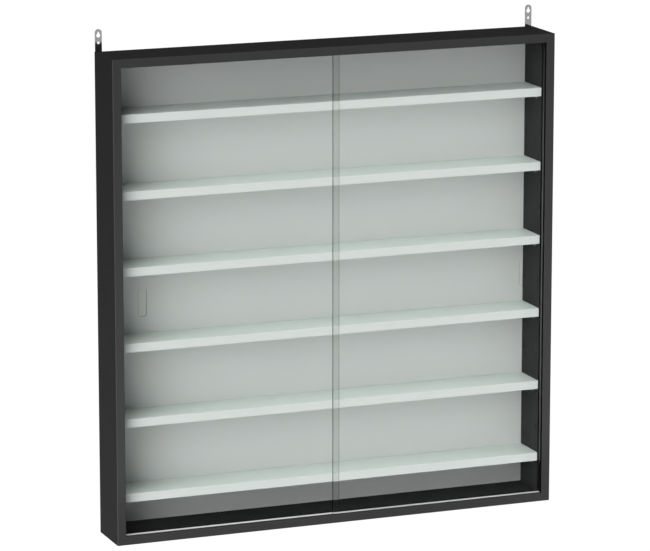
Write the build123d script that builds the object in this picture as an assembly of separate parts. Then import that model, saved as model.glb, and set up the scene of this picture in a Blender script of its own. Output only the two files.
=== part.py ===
from build123d import *
import os
from math import atan, degrees, sqrt

# Wall display cabinet with two sliding glass doors, in millimetres.
# X runs to the right, Y runs back to the wall at Y = 0, Z runs up.
# The origin lies on the wall, midway between the keyholes that the cabinet hangs from.

# Flat sides of small round pieces and their holes, which keep the many repeats light
small_round_sides = 12

# Carcass: four mitred boards of one grooved moulding
cabinet_width = 800.0
cabinet_height = 830.0
cabinet_depth = 95.0
board_thickness = 15.0
board_edge_radius = 0.9

# Glass grooves, counted back from the front edge of the boards
front_lip = 3.0
groove_width = 5.0
rib_width = 8.0
side_groove_depth = 5.0
bottom_groove_depth = 5.0
top_groove_depth = 10.0

# Back panel in its rebate, and the nails that hold it
panel_thickness = 3.0
rebate_width = 5.0
panel_clearance = 0.5
nail_shank_radius = 0.7
nail_head_radius = 1.6
nail_head_thickness = 0.5
nail_length = 15.0
nail_pitch = 200.0
nail_corner_distance = 65.0
nail_hole_clearance = 0.05

# Loose biscuit that stiffens each mitre
biscuit_length = 47.0
biscuit_width = 15.0
biscuit_thickness = 4.0
biscuit_from_corner = 13.5
biscuit_clearance = 0.15

# Shelves on steel pins, with pin holes in both side boards
shelf_thickness = 15.0
shelf_front_gap = 0.5
shelf_back_gap = 0.5
shelf_end_gap = 0.5
shelf_edge_radius = 0.7
hole_pitch = 65.0
holes_between_shelves = 2
first_hole_height = 66.0
top_compartment_least = 60.0
pin_radius = 2.5
pin_hole_clearance = 0.05
pin_seat_clearance = 0.05
pin_in_board = 8.0
pin_out_of_board = 7.0
pin_hole_depth = 9.0
pin_chamfer = 0.5
pin_from_shelf_edge = 8.0

# Aluminium runner that saddles the rib of the bottom board
runner_wall = 0.8
runner_clearance = 0.1
runner_end_gap = 0.5
runner_edge_radius = 0.3

# Sliding glass doors
glass_thickness = 4.0
door_overlap = 16.0
door_groove_gap = 0.5
door_glide_gap = 0.1
door_top_engagement = 4.0
glass_edge_chamfer = 0.4

# Finger recess ground into the front of each pane
recess_width = 14.5
recess_height = 48.5
recess_from_door_edge = 43.0
recess_drop = 0.8
recess_mean_depth = 2.0
recess_rise = 1.4
recess_corner_radius = 4.0

# Hangers on the rear edges of the side boards
hanger_width = 12.0
hanger_thickness = 1.5
hanger_rise = 37.7
hanger_tail = 38.5
keyhole_rise = 27.0
keyhole_radius = 3.6
keyhole_slot_reach = 6.4
keyhole_slot_half_width = 2.2
keyhole_tip_radius = 1.6
lock_hole_rise = 14.7
lock_hole_radius = 2.3
screw_drops = (17.0, 30.0)
screw_shank_radius = 1.5
screw_head_radius = 3.0
screw_length = 18.0
screw_hole_clearance = 0.1
screw_point_chamfer = 1.2
screw_slot_width = 0.7
screw_slot_depth = 0.5

# Places that follow from the sizes above
back_y = -hanger_thickness
front_y = back_y - cabinet_depth
bottom_z = -cabinet_height - keyhole_rise
top_z = bottom_z + cabinet_height
middle_z = (bottom_z + top_z) / 2
outer_x = cabinet_width / 2
inner_x = outer_x - board_thickness
floor_z = bottom_z + board_thickness
ceiling_z = top_z - board_thickness
panel_front_y = back_y - panel_thickness
front_groove_y = front_y + front_lip
rib_front_y = front_groove_y + groove_width
rear_groove_y = rib_front_y + rib_width
grooves_end_y = rear_groove_y + groove_width
hanger_x = outer_x - board_thickness / 2


def slab(x, y, z):
    """A block between the low and high values of each axis."""
    block = Box(x[1] - x[0], y[1] - y[0], z[1] - z[0], align=(Align.MIN, Align.MIN, Align.MIN))
    return Pos(x[0], y[0], z[0]) * block


def rod(start, direction, radius, length):
    """A small round bar from start along direction."""
    bar = extrude(RegularPolygon(radius, small_round_sides), amount=length)
    return Plane(origin=start, z_dir=direction).location * bar


def spread(low, high, pitch):
    """Evenly spaced places from low to high, about one pitch apart."""
    steps = max(1, round((high - low) / pitch))
    return [low + (high - low) * step / steps for step in range(steps + 1)]


def moulding(length, groove_depth, rib_inset=0.0, rib_drop=0.0):
    """A mitred board along local X, its outer face at Z = 0 and its inner face up."""
    half = length / 2
    along = (-half, half)
    board = slab(along, (front_y, back_y), (0, board_thickness))
    long_edges = board.edges().filter_by(Axis.X)
    front_edges = long_edges.group_by(Axis.Y)[0]
    rear_outer_edge = long_edges.group_by(Axis.Y)[-1].sort_by(Axis.Z)[0:1]
    board = fillet(front_edges + rear_outer_edge, board_edge_radius)
    groove_z = (board_thickness - groove_depth, board_thickness)
    board -= slab(along, (front_groove_y, rib_front_y + rib_inset), groove_z)
    board -= slab(along, (rear_groove_y - rib_inset, grooves_end_y), groove_z)
    if rib_drop > 0:
        board -= slab(along, (rib_front_y, rear_groove_y), (board_thickness - rib_drop, board_thickness))
    board -= slab(along, (panel_front_y, back_y), (board_thickness - rebate_width, board_thickness))
    corners = [
        (-half, 0),
        (half, 0),
        (half - board_thickness, board_thickness),
        (-half + board_thickness, board_thickness),
    ]
    outline = make_face(Plane.XZ * Polyline(*corners, close=True))
    return board & extrude(outline, amount=2 * cabinet_depth, both=True)


def biscuit(corner_x, corner_z, side_x, side_z, clearance=0.0):
    """A lens of beech across the mitre at one corner, or its slot when it has a clearance."""
    inward = (-side_x / sqrt(2), 0, -side_z / sqrt(2))
    centre_y = (grooves_end_y + panel_front_y) / 2
    reach = biscuit_from_corner
    half_length = biscuit_length / 2 + clearance
    half_width = biscuit_width / 2 + clearance
    thickness = biscuit_thickness + 2 * clearance
    origin = (corner_x + inward[0] * reach, centre_y, corner_z + inward[2] * reach)
    upper = ThreePointArc((-half_length, 0), (0, half_width), (half_length, 0))
    lower = ThreePointArc((half_length, 0), (0, -half_width), (-half_length, 0))
    lens = extrude(make_face(upper + lower), amount=thickness / 2, both=True)
    return Plane(origin=origin, x_dir=(0, 1, 0), z_dir=inward).location * lens


def all_biscuits(clearance=0.0):
    """The four biscuits, or their slots when they have a clearance."""
    places = [(side_x, side_z) for side_x in (-1, 1) for side_z in (-1, 1)]
    return [
        biscuit(side_x * outer_x, top_z if side_z > 0 else bottom_z, side_x, side_z, clearance)
        for side_x, side_z in places
    ]


# Shelf heights and pin places
shelf_pitch = hole_pitch * holes_between_shelves
pin_top = pin_radius + pin_seat_clearance
first_shelf_z = bottom_z + first_hole_height + pin_top
highest_shelf_z = ceiling_z - top_compartment_least - shelf_thickness
shelf_count = int((highest_shelf_z - first_shelf_z) // shelf_pitch) + 1
hole_count = (shelf_count - 1) * holes_between_shelves + 1
hole_heights = [bottom_z + first_hole_height + step * hole_pitch for step in range(hole_count)]
shelf_front_y = grooves_end_y + shelf_front_gap
shelf_back_y = panel_front_y - shelf_back_gap
pin_rows = (shelf_front_y + pin_from_shelf_edge, shelf_back_y - pin_from_shelf_edge)


def shelf(number):
    """Shelf number 0 is the lowest one."""
    low = first_shelf_z + number * shelf_pitch
    half = inner_x - shelf_end_gap
    board = slab((-half, half), (shelf_front_y, shelf_back_y), (low, low + shelf_thickness))
    front_edges = board.edges().filter_by(Axis.X).group_by(Axis.Y)[0]
    return fillet(front_edges, shelf_edge_radius)


def shelf_pin():
    """A steel pin along +X that enters the board at X = 0, with its free end chamfered."""
    pin = rod((-pin_out_of_board, 0, 0), (1, 0, 0), pin_radius, pin_out_of_board + pin_in_board)
    free_end = pin.faces().sort_by(Axis.X)[0]
    return chamfer(free_end.edges(), pin_chamfer)


def shelf_pins(number):
    """The four pins under one shelf."""
    pin = shelf_pin()
    height = hole_heights[number * holes_between_shelves]
    pins = []
    for row_y in pin_rows:
        pins.append(Pos(inner_x, row_y, height) * pin)
        pins.append(Pos(-inner_x, row_y, height) * Rot(0, 0, 180) * pin)
    return pins


def pin_holes(side):
    """All pin holes of one side board, in both rows."""
    radius = pin_radius + pin_hole_clearance
    return [
        rod((side * inner_x, row_y, height), (side, 0, 0), radius, pin_hole_depth)
        for row_y in pin_rows
        for height in hole_heights
    ]


# Nail places round the back panel, in the middle of the rebate
nail_x = inner_x + rebate_width / 2
nail_low_z = floor_z - rebate_width / 2
nail_high_z = ceiling_z + rebate_width / 2
side_nail_heights = spread(floor_z + nail_corner_distance, ceiling_z - nail_corner_distance, nail_pitch)
row_nail_x = spread(-inner_x + nail_corner_distance, inner_x - nail_corner_distance, nail_pitch)
nail_places = [(side * nail_x, height) for side in (-1, 1) for height in side_nail_heights]
nail_places += [(x, z) for z in (nail_low_z, nail_high_z) for x in row_nail_x]


def nail(x, z):
    """One nail, driven forward through the panel with its head on the panel's rear face."""
    shank = rod((x, back_y, z), (0, -1, 0), nail_shank_radius, nail_length)
    return shank + rod((x, back_y, z), (0, 1, 0), nail_head_radius, nail_head_thickness)


def nail_holes():
    """The holes that the nails fill, in the panel and in the boards."""
    radius = nail_shank_radius + nail_hole_clearance
    return [rod((x, back_y, z), (0, -1, 0), radius, nail_length) for x, z in nail_places]


# Screw places of the hangers
screw_places = [(side * hanger_x, top_z - drop) for side in (-1, 1) for drop in screw_drops]


def screw_head(gap=0.0):
    """A countersunk head below Z = 0, as deep as the hanger, or its seat when it has a gap."""
    wide = RegularPolygon(screw_head_radius + gap, small_round_sides)
    narrow = RegularPolygon(screw_shank_radius + gap, small_round_sides)
    return loft([wide, Pos(0, 0, -hanger_thickness) * narrow])


def screw(x, z):
    """A wood screw with a slotted head, flush with the back of the hanger."""
    below = (Align.CENTER, Align.CENTER, Align.MAX)
    driver_slot = Box(3 * screw_head_radius, screw_slot_width, screw_slot_depth, align=below)
    neck = (0, 0, -hanger_thickness)
    shank = rod(neck, (0, 0, -1), screw_shank_radius, screw_length - hanger_thickness)
    point = shank.faces().sort_by(Axis.Z)[0]
    shank = chamfer(point.edges(), screw_point_chamfer)
    body = screw_head() + shank - driver_slot
    return Plane(origin=(x, 0, z), x_dir=(1, 0, 0), z_dir=(0, 1, 0)).location * body


def screw_pilots(side):
    """The holes in one side board for its two hanger screws."""
    radius = screw_shank_radius + screw_hole_clearance
    depth = screw_length - hanger_thickness + screw_hole_clearance
    heights = [top_z - drop for drop in screw_drops]
    return [rod((side * hanger_x, back_y, height), (0, -1, 0), radius, depth) for height in heights]


def hanger(side):
    """A flat steel eye plate with a keyhole, a locking hole and two countersunk screw holes."""
    low = top_z - hanger_tail
    high = top_z + hanger_rise
    length = high - low
    plate = extrude(SlotOverall(length, hanger_width, rotation=90), amount=hanger_thickness)
    centre = (low + high) / 2
    key = top_z + keyhole_rise - centre
    tip = key + keyhole_slot_reach - keyhole_tip_radius
    wide = keyhole_slot_half_width
    narrow = keyhole_tip_radius
    taper = make_face(Polyline((-wide, key), (wide, key), (narrow, tip), (-narrow, tip), close=True))
    hole = Pos(0, key) * Circle(keyhole_radius) + taper + Pos(0, tip) * Circle(keyhole_tip_radius)
    hole += Pos(0, top_z + lock_hole_rise - centre) * Circle(lock_hole_radius)
    plate -= extrude(hole, amount=hanger_thickness)
    for drop in screw_drops:
        plate -= Pos(0, top_z - drop - centre) * Rot(180, 0, 0) * screw_head(screw_hole_clearance)
    # The sketch faces away from the wall, so its thickness grows forward from Y = 0
    place = Plane(origin=(side * hanger_x, 0, centre), x_dir=(1, 0, 0), z_dir=(0, -1, 0))
    return place.location * plate


# Runner section, measured from the middle of the rib
rib_inset = runner_wall + runner_clearance
rib_middle_y = rib_front_y + rib_width / 2
groove_floor_z = floor_z - bottom_groove_depth
foot_top_z = groove_floor_z + runner_clearance + runner_wall


def bottom_runner():
    """A hat section over the rib, with a foot in each groove that a pane stands on."""
    half = inner_x - runner_end_gap
    cap = rib_width / 2
    inside = cap - runner_wall
    foot = cap + groove_width - runner_clearance
    foot_low = groove_floor_z + runner_clearance
    cap_low = floor_z - runner_wall
    outline = [
        (foot, foot_low),
        (foot, foot_top_z),
        (cap, foot_top_z),
        (cap, floor_z),
        (-cap, floor_z),
        (-cap, foot_top_z),
        (-foot, foot_top_z),
        (-foot, foot_low),
        (-inside, foot_low),
        (-inside, cap_low),
        (inside, cap_low),
        (inside, foot_low),
    ]
    section = Plane(origin=(-half, rib_middle_y, 0), x_dir=(0, 1, 0), z_dir=(1, 0, 0))
    runner = extrude(make_face(section * Polyline(*outline, close=True)), amount=2 * half)
    cap_edges = runner.edges().filter_by(Axis.X).group_by(Axis.Z)[-1]
    return fillet(cap_edges, runner_edge_radius)


# Doors: each reaches from its side groove past the middle of the cabinet
door_low_z = foot_top_z + door_glide_gap
door_high_z = ceiling_z + door_top_engagement
door_outer_x = inner_x + side_groove_depth - door_groove_gap
door_width = door_outer_x + door_overlap / 2
door_travel = door_outer_x - door_overlap / 2


def finger_recess(side, pane_front_y):
    """A ground hollow with upright sides, whose floor gets deeper towards its lower end."""
    centre_x = side * (door_outer_x - recess_from_door_edge)
    centre_z = (door_low_z + door_high_z) / 2 - recess_drop
    face = RectangleRounded(recess_width, recess_height, recess_corner_radius)
    column = extrude(face, amount=glass_thickness, both=True)
    reach = recess_width + recess_height
    floor = Box(reach, reach, reach, align=(Align.CENTER, Align.CENTER, Align.MIN))
    floor = Rot(degrees(atan(recess_rise / recess_height)), 0, 0) * floor
    hollow = column & (Pos(0, 0, -recess_mean_depth) * floor)
    # The face of the pane lies at local Z = 0 and the hollow goes back from it
    place = Plane(origin=(centre_x, pane_front_y, centre_z), x_dir=(1, 0, 0), z_dir=(0, -1, 0))
    return place.location * hollow


def door(side, groove_y):
    """A glass pane centred in its groove, with ground edges and a finger recess."""
    spare = (groove_width - glass_thickness) / 2
    pane_front_y = groove_y + spare
    edges_x = sorted((side * door_outer_x, side * (door_outer_x - door_width)))
    pane = slab(edges_x, (pane_front_y, pane_front_y + glass_thickness), (door_low_z, door_high_z))
    faces = pane.edges().filter_by(Axis.X) + pane.edges().filter_by(Axis.Z)
    pane = chamfer(faces, glass_edge_chamfer)
    return pane - finger_recess(side, pane_front_y)


def save(name, shape):
    """Writes one piece, or a group of equal pieces, under its own name."""
    group = Compound(children=shape) if isinstance(shape, list) else shape
    export_step(group, os.path.join("parts", name + ".step"))


os.makedirs("parts", exist_ok=True)

slots = all_biscuits(biscuit_clearance)
holes = nail_holes()

bottom_board = moulding(cabinet_width, bottom_groove_depth, rib_inset, rib_inset)
top_board = moulding(cabinet_width, top_groove_depth)
side_board = moulding(cabinet_height, side_groove_depth)
bottom_place = Plane(origin=(0, 0, bottom_z), x_dir=(1, 0, 0), z_dir=(0, 0, 1))
top_place = Plane(origin=(0, 0, top_z), x_dir=(-1, 0, 0), z_dir=(0, 0, -1))
left_place = Plane(origin=(-outer_x, 0, middle_z), x_dir=(0, 0, -1), z_dir=(1, 0, 0))
right_place = Plane(origin=(outer_x, 0, middle_z), x_dir=(0, 0, 1), z_dir=(-1, 0, 0))
save("frame_bottom", bottom_place.location * bottom_board - slots - holes)
save("frame_top", top_place.location * top_board - slots - holes)
save("frame_left", left_place.location * side_board - slots - holes - pin_holes(-1) - screw_pilots(-1))
save("frame_right", right_place.location * side_board - slots - holes - pin_holes(1) - screw_pilots(1))
save("corner_biscuits", all_biscuits())

panel_reach = rebate_width - panel_clearance
panel_x = (-inner_x - panel_reach, inner_x + panel_reach)
panel_z = (floor_z - panel_reach, ceiling_z + panel_reach)
save("back_panel", slab(panel_x, (panel_front_y, back_y), panel_z) - holes)
save("back_panel_nails", [nail(x, z) for x, z in nail_places])

for number in range(shelf_count):
    save(f"shelf_{number + 1}", shelf(number))
    save(f"shelf_pins_{number + 1}", shelf_pins(number))

save("bottom_runner", bottom_runner())
save("door_left", door(-1, rear_groove_y))
save("door_right", door(1, front_groove_y))

save("hanger_left", hanger(-1))
save("hanger_right", hanger(1))
save("hanger_screws", [screw(x, z) for x, z in screw_places])

print("shelves", shelf_count, "pin holes a side", 2 * hole_count, "nails", len(nail_places))
print("door width", door_width, "height", door_high_z - door_low_z, "travel", door_travel)
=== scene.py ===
import bpy
import math
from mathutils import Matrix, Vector


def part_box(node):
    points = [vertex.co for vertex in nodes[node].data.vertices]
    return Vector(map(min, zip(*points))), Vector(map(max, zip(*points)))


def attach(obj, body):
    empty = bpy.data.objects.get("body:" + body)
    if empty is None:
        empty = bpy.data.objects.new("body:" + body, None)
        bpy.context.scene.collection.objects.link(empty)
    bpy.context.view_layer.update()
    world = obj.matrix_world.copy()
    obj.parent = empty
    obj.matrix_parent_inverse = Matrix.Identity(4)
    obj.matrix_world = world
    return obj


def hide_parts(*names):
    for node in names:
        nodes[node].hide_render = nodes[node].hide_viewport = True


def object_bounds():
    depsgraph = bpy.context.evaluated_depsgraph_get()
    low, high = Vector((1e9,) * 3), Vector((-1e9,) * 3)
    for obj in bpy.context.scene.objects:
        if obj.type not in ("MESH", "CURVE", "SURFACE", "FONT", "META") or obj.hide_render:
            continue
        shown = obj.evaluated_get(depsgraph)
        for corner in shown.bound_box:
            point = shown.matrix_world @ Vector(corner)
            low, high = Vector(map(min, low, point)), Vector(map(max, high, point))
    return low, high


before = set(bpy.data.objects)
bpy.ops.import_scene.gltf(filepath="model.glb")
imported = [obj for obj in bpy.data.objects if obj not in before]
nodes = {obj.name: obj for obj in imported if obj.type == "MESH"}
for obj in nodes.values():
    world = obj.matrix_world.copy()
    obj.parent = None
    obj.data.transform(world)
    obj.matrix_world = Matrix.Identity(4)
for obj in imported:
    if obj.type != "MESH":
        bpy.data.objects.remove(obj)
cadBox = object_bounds()
scene = bpy.context.scene
scene.view_settings.view_transform = "Standard"
print("cabinet loaded,", len(nodes), "pieces")


# Things in the scene
def putInScene(name, data):
    thing = bpy.data.objects.new(name, data)
    scene.collection.objects.link(thing)
    return thing


def faceFrom(thing, azimuth, elevation):
    # A camera or lamp out in this direction, in degrees, turned to face back
    turn, tilt = math.radians(azimuth), math.radians(elevation)
    out = Vector((math.sin(turn) * math.cos(tilt), -math.cos(turn) * math.cos(tilt), math.sin(tilt)))
    thing.rotation_mode = "QUATERNION"
    thing.rotation_quaternion = (-out).to_track_quat("-Z", "Y")


# Camera, fitted to the corners of the carcass
cameraView = {
    "place": (-2.3892, -6.1197, 0.9740),
    "from": (-21.436, 12.147),
    "lens": 215.7,
    "sensor": 36.0,
    "farEnd": 200.0,
}


def makeCamera(view):
    data = bpy.data.cameras.new("photoCamera")
    data.lens = view["lens"]
    data.sensor_width = view["sensor"]
    data.clip_end = view["farEnd"]
    camera = putInScene("photoCamera", data)
    camera.location = view["place"]
    faceFrom(camera, *view["from"])
    scene.camera = camera


makeCamera(cameraView)
print("camera set")


# Small helpers for node trees; a value is a plain one or another node's socket
def setInputs(tree, node, values):
    for name, value in values.items():
        if isinstance(value, bpy.types.NodeSocket):
            tree.links.new(value, node.inputs[name])
        else:
            node.inputs[name].default_value = value


def addNode(tree, kind, values=None, **settings):
    node = tree.nodes.new(kind)
    for name, value in settings.items():
        setattr(node, name, value)
    setInputs(tree, node, values or {})
    return node


def outputOf(tree, kind, values=None, **settings):
    return addNode(tree, kind, values, **settings).outputs[0]


def calc(tree, operation, *values, **settings):
    return outputOf(tree, "ShaderNodeMath", dict(enumerate(values)), operation=operation, **settings)


def axesOf(tree, vector):
    return addNode(tree, "ShaderNodeSeparateXYZ", {"Vector": vector}).outputs


def spreadOver(tree, share, low, high):
    node = addNode(tree, "ShaderNodeMapRange", {"Value": share, "To Min": low, "To Max": high})
    return node.outputs["Result"]


def shareOf(tree, value, start, end):
    # 0 up to the start, 1 from the end on
    node = addNode(tree, "ShaderNodeMapRange", {"Value": value, "From Min": start, "From Max": end})
    return node.outputs["Result"]


# Helpers for materials
def opaque(red, green, blue):
    return (red, green, blue, 1.0)


pureWhite = opaque(1.0, 1.0, 1.0)
levelTurn = 0.7  # a face whose normal is steeper than this counts as level


def newMaterial(name):
    material = bpy.data.materials.new(name)
    material.use_nodes = True
    tree = material.node_tree
    shader = next(node for node in tree.nodes if node.type == "BSDF_PRINCIPLED")
    return material, tree, shader


def endMaterial(tree, surface):
    output = next(node for node in tree.nodes if node.type == "OUTPUT_MATERIAL")
    tree.links.new(surface, output.inputs["Surface"])


def objectPlace(tree, scale=(1, 1, 1)):
    coordinates = addNode(tree, "ShaderNodeTexCoord")
    mapping = addNode(tree, "ShaderNodeMapping", {"Vector": coordinates.outputs["Object"], "Scale": scale})
    return mapping.outputs["Vector"]


def noiseOf(tree, place, scale, detail=3.0, roughness=0.5):
    values = {"Vector": place, "Scale": scale, "Detail": detail, "Roughness": roughness}
    return addNode(tree, "ShaderNodeTexNoise", values).outputs["Fac"]


def blendColours(tree, factor, first, second):
    return addNode(tree, "ShaderNodeMix", {0: factor, 6: first, 7: second}, data_type="RGBA").outputs[2]


def mixShaders(tree, factor, first, second):
    return outputOf(tree, "ShaderNodeMixShader", {0: factor, 1: first, 2: second})


def rampOf(tree, factor, stops):
    node = addNode(tree, "ShaderNodeValToRGB", {"Fac": factor})
    ramp = node.color_ramp
    for element, (place, colour) in zip((ramp.elements[0], ramp.elements[1]), (stops[0], stops[-1])):
        element.position = place
        element.color = colour
    for place, colour in stops[1:-1]:
        ramp.elements.new(place).color = colour
    return node.outputs["Color"]


def addBump(tree, shader, height, distance):
    bump = addNode(tree, "ShaderNodeBump", {"Height": height, "Distance": distance, "Strength": 1.0})
    tree.links.new(bump.outputs["Normal"], shader.inputs["Normal"])


def facing(tree, axis):
    normal = addNode(tree, "ShaderNodeNewGeometry").outputs["True Normal"]
    return calc(tree, "ABSOLUTE", axesOf(tree, normal)[axis])


def isLevel(tree):
    return calc(tree, "GREATER_THAN", facing(tree, "Z"), levelTurn)


# Black film on the boards, with a grey for each side of them as painted light and shade: palest in front and
# low down, with painted highlights on the rounded front corners and along the rib
blackFilm = {
    # Painted shade: level faces inside are darker than the upright ones
    "inside": opaque(0.0256, 0.0270, 0.0264),
    "insideLevel": opaque(0.0122, 0.0130, 0.0126),
    # Painted shade: the top and the grooves are near black
    "topside": opaque(0.0015, 0.0015, 0.0015),
    "groove": opaque(0.0008, 0.0008, 0.0008),
    # Painted light: the sides and the front grow paler towards the foot, the front palest low down
    "sideTop": opaque(0.0118, 0.0118, 0.0119),
    "sideFoot": opaque(0.0285, 0.0285, 0.0286),
    "frontTop": opaque(0.0430, 0.0430, 0.0432),
    "frontLow": opaque(0.0635, 0.0635, 0.0637),
    "frontFoot": opaque(0.0470, 0.0470, 0.0472),
    "lowPlace": 0.14,  # share of the height where the front is palest
    # Painted highlight along the rounded front corners, brighter towards the foot
    "cornerHighlightTop": opaque(0.0630, 0.0630, 0.0630),
    "cornerHighlightFoot": opaque(0.0840, 0.0840, 0.0840),
    "edge": 0.0011,  # how far the grey of an outer face reaches round its corners
    "grooveEdge": 0.0006,  # from the end of the runner to the dark of a side groove
    # Painted highlight along the middle of the rib, brightest halfway up and dark at its foot
    "ribHighlightMiddle": -0.0843,
    "ribHighlightReach": 0.0027,
    "ribHighlightStops": [  # share of the height and grey
        (0.080, 0.0008),
        (0.090, 0.070),
        (0.17, 0.072),
        (0.33, 0.088),
        (0.48, 0.094),
        (0.64, 0.088),
        (0.80, 0.066),
        (1.0, 0.018),
    ],
    "clouds": {"scale": 9.0, "detail": 4.0},
    "cloudReach": 0.08,  # share of the height that they shift a grey by
    "roughness": (0.78, 0.86),
    "specular": 0.08,
    "peel": {"scale": 900.0, "detail": 2.0},
    "peelHeight": 0.00002,
}


def makeBlackFilm(film):
    material, tree, shader = newMaterial("blackFilm")
    place = objectPlace(tree)
    x, y, z = axesOf(tree, place)
    cloudy = noiseOf(tree, place, **film["clouds"])
    foot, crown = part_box("frame_bottom")[0].z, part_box("frame_top")[1].z
    height = shareOf(tree, z, foot, crown)
    drift = spreadOver(tree, cloudy, -film["cloudReach"], film["cloudReach"])
    cloudyHeight = calc(tree, "ADD", height, drift)

    across = calc(tree, "ABSOLUTE", x)
    onSide = calc(tree, "GREATER_THAN", across, cadBox[1].x - film["edge"])
    onFront = calc(tree, "LESS_THAN", y, cadBox[0].y + film["edge"])
    onTop = calc(tree, "GREATER_THAN", z, crown - film["edge"])
    onEdge = calc(tree, "MULTIPLY", onSide, onFront)
    beforeShelves = calc(tree, "LESS_THAN", y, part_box("shelf_1")[0].y)
    inBoard = calc(tree, "GREATER_THAN", across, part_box("bottom_runner")[1].x + film["grooveEdge"])
    inGroove = calc(tree, "MULTIPLY", inBoard, beforeShelves)
    onRib = calc(tree, "COMPARE", y, film["ribHighlightMiddle"], film["ribHighlightReach"])

    # Painted light: the sides and the front grow paler towards the foot
    sideTone = rampOf(tree, cloudyHeight, [(0.0, film["sideFoot"]), (1.0, film["sideTop"])])
    frontStops = [(0.0, film["frontFoot"]), (film["lowPlace"], film["frontLow"]), (1.0, film["frontTop"])]
    frontTone = rampOf(tree, cloudyHeight, frontStops)
    # Painted highlight on the rounded front corners
    cornerHighlightTone = rampOf(tree, cloudyHeight, [(0.0, film["cornerHighlightFoot"]), (1.0, film["cornerHighlightTop"])])
    # The rib between the two grooves is painted pale along its middle as a highlight, brightest halfway up,
    # over the painted shade of the grooves
    ribHighlightStops = [(stop, opaque(grey, grey, grey)) for stop, grey in film["ribHighlightStops"]]
    ribTone = blendColours(tree, onRib, film["groove"], rampOf(tree, height, ribHighlightStops))

    # Each of these covers the ones before it: painted shade ahead of the shelves with the rib's painted
    # highlight, painted shade in the grooves and on the top, painted light on the sides, the front and its
    # corners
    tone = blendColours(tree, isLevel(tree), film["inside"], film["insideLevel"])
    covers = [(beforeShelves, ribTone), (inGroove, film["groove"]), (onTop, film["topside"])]
    covers += [(onSide, sideTone), (onFront, frontTone), (onEdge, cornerHighlightTone)]
    for mask, cover in covers:
        tone = blendColours(tree, mask, tone, cover)
    setInputs(tree, shader, {
        "Base Color": tone,
        "Roughness": spreadOver(tree, cloudy, *film["roughness"]),
        "Specular IOR Level": film["specular"],
    })
    addBump(tree, shader, noiseOf(tree, place, **film["peel"]), film["peelHeight"])
    return material


# White film on the shelves, lighter on their upright edges than on their level faces: the edge band on the
# edges, and painted shade on the level faces
whiteFilm = {
    "edgeBand": opaque(0.85, 0.91, 0.88),
    "level": opaque(0.750, 0.825, 0.788),
    "clouds": {"scale": 12.0, "detail": 3.0},
    "cloudShade": opaque(0.0, 0.0, 0.0),
    "cloudDepth": 0.025,
    "roughness": (0.34, 0.44),
    "specular": 0.4,
    "peel": {"scale": 700.0, "detail": 2.0},
    "peelHeight": 0.00002,
}


def makeWhiteFilm(film):
    material, tree, shader = newMaterial("whiteFilm")
    place = objectPlace(tree)
    cloudy = noiseOf(tree, place, **film["clouds"])
    # Painted shade: the level faces are darker than the upright edges
    colour = blendColours(tree, isLevel(tree), film["edgeBand"], film["level"])
    shade = calc(tree, "MULTIPLY", cloudy, film["cloudDepth"])
    setInputs(tree, shader, {
        "Base Color": blendColours(tree, shade, colour, film["cloudShade"]),
        "Roughness": spreadOver(tree, cloudy, *film["roughness"]),
        "Specular IOR Level": film["specular"],
    })
    addBump(tree, shader, noiseOf(tree, place, **film["peel"]), film["peelHeight"])
    return material


# Hardboard: white lacquer on its front face, raw brown fibre behind
hardboard = {
    "lacquer": opaque(0.795, 0.822, 0.808),
    "lacquerRoughness": 0.42,
    "lacquerDepth": 0.0008,
    "fibreDark": opaque(0.20, 0.105, 0.05),
    "fibreLight": opaque(0.33, 0.19, 0.10),
    "fibreRoughness": 0.8,
    "fibreScale": (90.0, 90.0, 240.0),
    "fibres": {"scale": 4.0, "detail": 8.0, "roughness": 0.7},
    "patches": {"scale": 5.0, "detail": 6.0, "roughness": 0.65},
    "mottle": (0.12, 0.42),  # fibres times patches, from dark to light
    "fibreHeight": 0.00012,
}


def makeHardboard(board):
    material, tree, shader = newMaterial("hardboard")
    place = objectPlace(tree)
    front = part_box("back_panel")[0].y + board["lacquerDepth"]
    behind = calc(tree, "GREATER_THAN", axesOf(tree, place)["Y"], front)
    fibres = noiseOf(tree, objectPlace(tree, board["fibreScale"]), **board["fibres"])
    patches = noiseOf(tree, place, **board["patches"])
    mottled = shareOf(tree, calc(tree, "MULTIPLY", fibres, patches), *board["mottle"])
    brown = blendColours(tree, mottled, board["fibreDark"], board["fibreLight"])
    setInputs(tree, shader, {
        "Base Color": blendColours(tree, behind, board["lacquer"], brown),
        "Roughness": spreadOver(tree, behind, board["lacquerRoughness"], board["fibreRoughness"]),
    })
    addBump(tree, shader, calc(tree, "MULTIPLY", fibres, behind), board["fibreHeight"])
    return material


# Bare metals: bright nickel plate, zinc plate, satin anodised aluminium and darker steel
metals = {
    "nickelPlate": {
        "colour": opaque(0.53, 0.53, 0.525),
        "roughness": (0.05, 0.12),
        "grainScale": (60.0, 60.0, 60.0),
    },
    "zincPlate": {
        "colour": opaque(0.74, 0.745, 0.76),
        "roughness": (0.25, 0.38),
        "grainScale": (300.0, 300.0, 300.0),
    },
    "anodised": {
        "colour": opaque(0.92, 0.93, 0.93),
        "shadedSides": opaque(0.10, 0.10, 0.10),  # its sides, painted dark as shade of the groove
        "metallic": 0.2,
        "roughness": (0.50, 0.60),
        "grainScale": (2.0, 900.0, 900.0),
    },
    "darkSteel": {
        "colour": opaque(0.40, 0.40, 0.40),
        "roughness": (0.16, 0.26),
        "grainScale": (200.0, 200.0, 200.0),
    },
}
metalGrain = {"scale": 1.0, "detail": 4.0}


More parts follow.
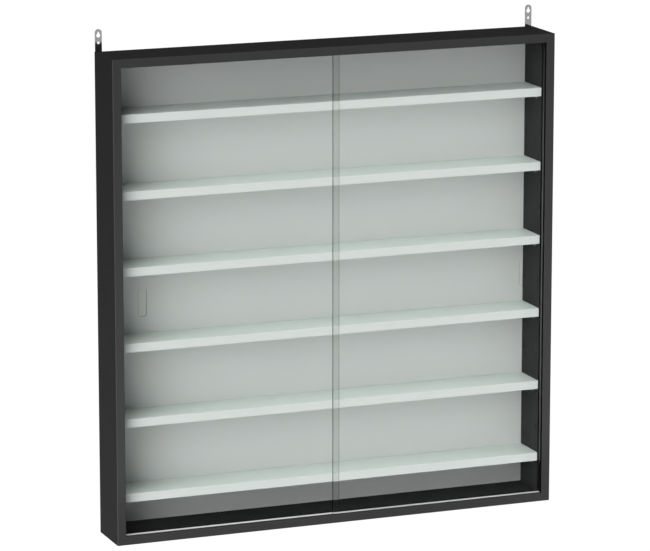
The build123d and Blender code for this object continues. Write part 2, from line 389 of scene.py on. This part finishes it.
def makeMetal(name):
    metal = metals[name]
    material, tree, shader = newMaterial(name)
    grain = noiseOf(tree, objectPlace(tree, metal["grainScale"]), **metalGrain)
    setInputs(tree, shader, {
        "Base Color": metal["colour"],
        "Metallic": metal.get("metallic", 1.0),
        "Roughness": spreadOver(tree, grain, *metal["roughness"]),
    })
    # Painted shade: the runner's upright sides are dark, its level top keeps its own colour
    if "shadedSides" in metal:
        colour = blendColours(tree, isLevel(tree), metal["shadedSides"], metal["colour"])
        setInputs(tree, shader, {"Base Color": colour})
    return material


# Pressed beech of the biscuits
beech = {
    "dark": opaque(0.42, 0.27, 0.15),
    "light": opaque(0.60, 0.42, 0.26),
    "roughness": 0.7,
    "grainScale": (400.0, 60.0, 400.0),
    "grain": {"scale": 2.0, "detail": 6.0},
}


def makeBeech(wood):
    material, tree, shader = newMaterial("beech")
    grain = noiseOf(tree, objectPlace(tree, wood["grainScale"]), **wood["grain"])
    setInputs(tree, shader, {
        "Base Color": blendColours(tree, grain, wood["dark"], wood["light"]),
        "Roughness": wood["roughness"],
    })
    return material


# Float glass: lamps and diffuse light pass straight through, the eye sees real refraction
floatGlass = {
    "tint": opaque(0.848, 0.851, 0.849),
    "edgeTintAndShade": opaque(0.004, 0.007, 0.006),
    "edgeTurn": (0.73, 0.67),  # how far a face looks to the front, from flat glass to edge
    "ior": 1.52,
    "roughness": 0.0,
    "shine": opaque(0.05, 0.05, 0.05),
}


def makeFloatGlass(glass):
    material, tree, shader = newMaterial("floatGlass")
    # The edges and the walls of the finger recess are painted near black: partly the deeper colour of a
    # longer path through glass, partly painted shade
    onEdge = shareOf(tree, facing(tree, "Y"), *glass["edgeTurn"])
    setInputs(tree, shader, {
        "Base Color": blendColours(tree, onEdge, glass["tint"], glass["edgeTintAndShade"]),
        "Roughness": glass["roughness"],
        "IOR": glass["ior"],
        "Specular Tint": glass["shine"],
        "Transmission Weight": 1.0,
    })
    rays = addNode(tree, "ShaderNodeLightPath").outputs
    straight = calc(tree, "MAXIMUM", rays["Is Shadow Ray"], rays["Is Diffuse Ray"])
    clear = outputOf(tree, "ShaderNodeBsdfTransparent")
    endMaterial(tree, mixShaders(tree, straight, shader.outputs[0], clear))
    return material


black = makeBlackFilm(blackFilm)
white = makeWhiteFilm(whiteFilm)
panel = makeHardboard(hardboard)
nickel = makeMetal("nickelPlate")
zinc = makeMetal("zincPlate")
aluminium = makeMetal("anodised")
steel = makeMetal("darkSteel")
wood = makeBeech(beech)
glass = makeFloatGlass(floatGlass)
print("materials made")


# What each piece is made of; the first start that fits its name counts
finishes = {
    "frame_": black,
    "shelf_pins_": steel,
    "shelf_": white,
    "back_panel_nails": zinc,
    "back_panel": panel,
    "bottom_runner": aluminium,
    "door_": glass,
    "hanger_screws": zinc,
    "hanger_": nickel,
    "corner_biscuits": wood,
}


def dress(name):
    finish = next(material for start, material in finishes.items() if name.startswith(start))
    for slot in nodes[name].material_slots:
        slot.link = "OBJECT"
        slot.material = finish


for name in nodes:
    dress(name)
print("pieces dressed")


# Geometry Nodes: a tree with named inputs, a turned solid, and the finished tree as a plain mesh
mergeGap = 1e-6  # corners closer than this are one
sharpTurn = 30  # degrees


def newTree(name, sizes):
    tree = bpy.data.node_groups.new(name, "GeometryNodeTree")
    tree.interface.new_socket("Geometry", in_out="INPUT", socket_type="NodeSocketGeometry")
    for label, size in sizes.items():
        kind = "NodeSocketInt" if isinstance(size, int) else "NodeSocketFloat"
        tree.interface.new_socket(label, in_out="INPUT", socket_type=kind)
    tree.interface.new_socket("Geometry", in_out="OUTPUT", socket_type="NodeSocketGeometry")
    return tree, addNode(tree, "NodeGroupInput").outputs


def turnedSolid(tree, sides, radius, steps):
    # It grows along +Z from a closed disc; each step is a length and the radius at its end
    disc = outputOf(tree, "GeometryNodeMeshCircle", {"Vertices": sides, "Radius": radius}, fill_type="NGON")
    base = outputOf(tree, "GeometryNodeFlipFaces", {"Mesh": disc})
    solid, top = disc, None
    for length, nextRadius in steps:
        values = {"Mesh": solid, "Offset Scale": length, "Individual": False}
        if top:
            values["Selection"] = top
        grown = addNode(tree, "GeometryNodeExtrudeMesh", values).outputs
        top = grown["Top"]
        share = calc(tree, "DIVIDE", nextRadius, radius)
        values = {"Geometry": grown["Mesh"], "Selection": top, "Scale": share}
        solid = outputOf(tree, "GeometryNodeScaleElements", values)
        radius = nextRadius
    both = addNode(tree, "GeometryNodeJoinGeometry")
    tree.links.new(solid, both.inputs[0])
    tree.links.new(base, both.inputs[0])
    return outputOf(tree, "GeometryNodeMergeByDistance", {"Geometry": both.outputs[0], "Distance": mergeGap})


def spreadAlong(tree, rows, count, solid, turn):
    # The rows are plain edges; each carries the same number of copies
    line = outputOf(tree, "GeometryNodeMeshToCurve", {"Mesh": rows})
    places = outputOf(tree, "GeometryNodeResampleCurve", {"Curve": line, "Count": count})
    values = {"Points": places, "Instance": solid, "Rotation": turn}
    return outputOf(tree, "GeometryNodeInstanceOnPoints", values)


def endTree(tree, copies, material):
    real = outputOf(tree, "GeometryNodeRealizeInstances", {"Geometry": copies})
    painted = outputOf(tree, "GeometryNodeSetMaterial", {"Geometry": real, "Material": material})
    addNode(tree, "NodeGroupOutput", {"Geometry": painted})


def growPiece(name, rows, tree, sizes, replaced):
    mesh = bpy.data.meshes.new(name)
    corners = [corner for row in rows for corner in row]
    mesh.from_pydata(corners, [(index, index + 1) for index in range(0, len(corners), 2)], [])
    piece = putInScene(name, mesh)
    maker = piece.modifiers.new("maker", "NODES")
    maker.node_group = tree
    for item in tree.interface.items_tree:
        if item.in_out == "INPUT" and item.name in sizes:
            maker[item.identifier] = sizes[item.name]
    bpy.context.view_layer.update()
    finished = bpy.data.meshes.new_from_object(piece.evaluated_get(bpy.context.evaluated_depsgraph_get()))
    piece.modifiers.clear()
    piece.data = finished
    finished.shade_smooth()
    finished.set_sharp_from_angle(angle=math.radians(sharpTurn))
    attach(piece, "cabinet")
    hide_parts(*replaced)
    print(name, "grown,", len(finished.polygons), "faces")


def outerMiddles(node, headRadius):
    # The box of a node's fasteners, drawn in to the middles of the outermost heads
    low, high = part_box(node)
    inset = Vector((headRadius, 0, headRadius))
    return low + inset, high - inset


# Shelf pins: four rows of plain steel pins, chamfered at the end that carries the shelf
shelfPins = {
    "Radius": 0.0025,
    "In Board": 0.008,
    "Out Of Board": 0.007,
    "Chamfer": 0.0005,
    "Sides": 32,
    "Count": 6,
}


def makeShelfPins(sizes, material):
    tree, sockets = newTree("pinRows", sizes)
    radius, chamfer = sockets["Radius"], sockets["Chamfer"]
    length = calc(tree, "ADD", sockets["In Board"], sockets["Out Of Board"])
    body = calc(tree, "SUBTRACT", length, chamfer)
    small = calc(tree, "SUBTRACT", radius, chamfer)
    pin = turnedSolid(tree, sockets["Sides"], radius, [(body, radius), (chamfer, small)])
    # Every pin points to the middle of the cabinet
    place = outputOf(tree, "GeometryNodeInputPosition")
    side = calc(tree, "SIGN", axesOf(tree, place)["X"])
    turn = outputOf(tree, "ShaderNodeCombineXYZ", {"Y": calc(tree, "MULTIPLY", side, -math.pi / 2)})
    endTree(tree, spreadAlong(tree, sockets["Geometry"], sockets["Count"], pin, turn), material)
    names = ["shelf_pins_%d" % (number + 1) for number in range(sizes["Count"])]
    low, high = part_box(names[0]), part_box(names[-1])
    rows = []
    for x in (low[0].x, low[1].x):
        for y in (low[0].y + sizes["Radius"], low[1].y - sizes["Radius"]):
            rows.append([(x, y, (box[0].z + box[1].z) / 2) for box in (low, high)])
    growPiece("shelfPins", rows, tree, sizes, names)


# Panel nails: flat heads on the hardboard, shanks driven forward into the boards
panelNails = {
    "Head Radius": 0.0016,
    "Head Thickness": 0.0005,
    "Head Chamfer": 0.00015,
    "Shank Radius": 0.0007,
    "Shank Length": 0.0135,
    "Point Length": 0.0015,
    "Point Radius": 0.0001,
    "Sides": 20,
    "Count": 4,
}
nailRowEnd = 0.0675  # from the crossing of two rows to the first nail


def makePanelNails(sizes, material):
    tree, sockets = newTree("nailRows", sizes)
    wide, chamfer, shank = sockets["Head Radius"], sockets["Head Chamfer"], sockets["Shank Radius"]
    flat = calc(tree, "SUBTRACT", wide, chamfer)
    rim = calc(tree, "SUBTRACT", sockets["Head Thickness"], chamfer)
    steps = [(chamfer, wide), (rim, wide), (0.0, shank), (sockets["Shank Length"], shank)]
    steps.append((sockets["Point Length"], sockets["Point Radius"]))
    nail = turnedSolid(tree, sockets["Sides"], flat, steps)
    turn = outputOf(tree, "ShaderNodeCombineXYZ", {"X": math.pi / 2})
    endTree(tree, spreadAlong(tree, sockets["Geometry"], sockets["Count"], nail, turn), material)
    low, high = outerMiddles("back_panel_nails", sizes["Head Radius"])
    rows = [[(x, high.y, z) for z in (low.z + nailRowEnd, high.z - nailRowEnd)] for x in (low.x, high.x)]
    rows += [[(x, high.y, z) for x in (low.x + nailRowEnd, high.x - nailRowEnd)] for z in (low.z, high.z)]
    growPiece("panelNails", rows, tree, sizes, ["back_panel_nails"])


# Hanger screws: countersunk heads flush with the plates, each slot turned its own way
hangerScrews = {
    "Head Radius": 0.003,
    "Head Depth": 0.0015,
    "Shank Radius": 0.0015,
    "Shank Length": 0.0153,
    "Point Length": 0.0012,
    "Point Radius": 0.0003,
    "Slot Width": 0.0007,
    "Slot Depth": 0.0005,
    "Sides": 32,
    "Count": 2,
    "Seed": 5,
}
cutterSpan = 3.0  # in radii of the head, so that it passes the rim on both sides
cutterHeight = 2.0  # in depths of the slot, because half of it is clear of the head


def makeHangerScrews(sizes, material):
    tree, sockets = newTree("screwPairs", sizes)
    head, shank = sockets["Head Radius"], sockets["Shank Radius"]
    steps = [(sockets["Head Depth"], shank), (sockets["Shank Length"], shank)]
    steps.append((sockets["Point Length"], sockets["Point Radius"]))
    screw = turnedSolid(tree, sockets["Sides"], head, steps)
    span = calc(tree, "MULTIPLY", head, cutterSpan)
    tall = calc(tree, "MULTIPLY", sockets["Slot Depth"], cutterHeight)
    cut = outputOf(tree, "ShaderNodeCombineXYZ", {"X": span, "Y": sockets["Slot Width"], "Z": tall})
    cutter = outputOf(tree, "GeometryNodeMeshCube", {"Size": cut})
    slotted = outputOf(tree, "GeometryNodeMeshBoolean", {0: screw, 1: cutter}, operation="DIFFERENCE")
    turn = outputOf(tree, "ShaderNodeCombineXYZ", {"X": math.pi / 2})
    copies = spreadAlong(tree, sockets["Geometry"], sockets["Count"], slotted, turn)
    chance = addNode(tree, "FunctionNodeRandomValue", {2: 0.0, 3: math.pi, "Seed": sockets["Seed"]})
    spin = outputOf(tree, "ShaderNodeCombineXYZ", {"Z": chance.outputs[1]})
    copies = outputOf(tree, "GeometryNodeRotateInstances", {"Instances": copies, "Rotation": spin})
    endTree(tree, copies, material)
    low, high = outerMiddles("hanger_screws", sizes["Head Radius"])
    rows = [[(x, high.y, z) for z in (low.z, high.z)] for x in (low.x, high.x)]
    growPiece("hangerScrews", rows, tree, sizes, ["hanger_screws"])


makeShelfPins(shelfPins, steel)
makePanelNails(panelNails, zinc)
makeHangerScrews(hangerScrews, zinc)


# Studio: soft lamps far away, a pale floor and a plain world; directions are azimuth and elevation
studio = {
    "lamps": {
        "keyLamp": {"from": (-49, 31), "spread": 50, "power": 2.50},
        "lowLamp": {"from": (-40, -25), "spread": 50, "power": 1.51},
        "topLamp": {"from": (0, 80), "spread": 40, "power": 1.0},
        "rearLamp": {"from": (132, -35), "spread": 50, "power": 2.2},
    },
    "worldLevel": 0.03,
    "backdrop": 1.0,
    "mirrored": 0.60,
    "floorDrop": 1.1,
    "floorSize": 80.0,
    "floorColour": opaque(0.43, 0.43, 0.43),
    "floorRoughness": 0.9,
    "floorWhite": 0.70,
}


def makeLamp(name, lamp):
    data = bpy.data.lights.new(name, "SUN")
    data.angle = math.radians(lamp["spread"])
    data.energy = lamp["power"]
    faceFrom(putInScene(name, data), *lamp["from"])


def raysOf(tree):
    # What the eye sees, through glass too, and what it sees mirrored
    rays = addNode(tree, "ShaderNodeLightPath").outputs
    eye = calc(tree, "MAXIMUM", rays["Is Camera Ray"], rays["Is Transmission Ray"])
    mirrored = calc(tree, "SUBTRACT", rays["Is Glossy Ray"], eye, use_clamp=True)
    return eye, mirrored


def makeWorld(light):
    world = bpy.data.worlds.new("studioWorld")
    world.use_nodes = True
    tree = world.node_tree
    tree.nodes.clear()
    scene.world = world
    eye, mirrored = raysOf(tree)
    level = outputOf(tree, "ShaderNodeMix", {0: mirrored, 2: light["worldLevel"], 3: light["mirrored"]})
    level = outputOf(tree, "ShaderNodeMix", {0: eye, 2: level, 3: light["backdrop"]})
    backdrop = outputOf(tree, "ShaderNodeBackground", {"Color": pureWhite, "Strength": level})
    addNode(tree, "ShaderNodeOutputWorld", {"Surface": backdrop})


def makeFloor(light):
    half = light["floorSize"] / 2
    height = cadBox[0].z - light["floorDrop"]
    mesh = bpy.data.meshes.new("studioFloor")
    corners = [(-half, -half, height), (half, -half, height), (half, half, height), (-half, half, height)]
    mesh.from_pydata(corners, [], [(0, 1, 2, 3)])
    floor = putInScene("studioFloor", mesh)
    floor.visible_shadow = False  # the lamps below shine through it
    material, tree, shader = newMaterial("paleFloor")
    eye, mirrored = raysOf(tree)
    setInputs(tree, shader, {
        "Base Color": light["floorColour"],
        "Roughness": light["floorRoughness"],
        "Specular IOR Level": 0.0,
        "Emission Color": pureWhite,
        "Emission Strength": calc(tree, "MULTIPLY", eye, light["floorWhite"]),
    })
    glow = outputOf(tree, "ShaderNodeEmission", {"Color": pureWhite, "Strength": light["mirrored"]})
    seen = mixShaders(tree, mirrored, shader.outputs[0], glow)
    # Seen from below, the floor is clear
    below = addNode(tree, "ShaderNodeNewGeometry").outputs["Backfacing"]
    clear = outputOf(tree, "ShaderNodeBsdfTransparent")
    endMaterial(tree, mixShaders(tree, below, seen, clear))
    mesh.materials.append(material)


for lampName, lamp in studio["lamps"].items():
    makeLamp(lampName, lamp)
makeWorld(studio)
makeFloor(studio)
print("studio lit")
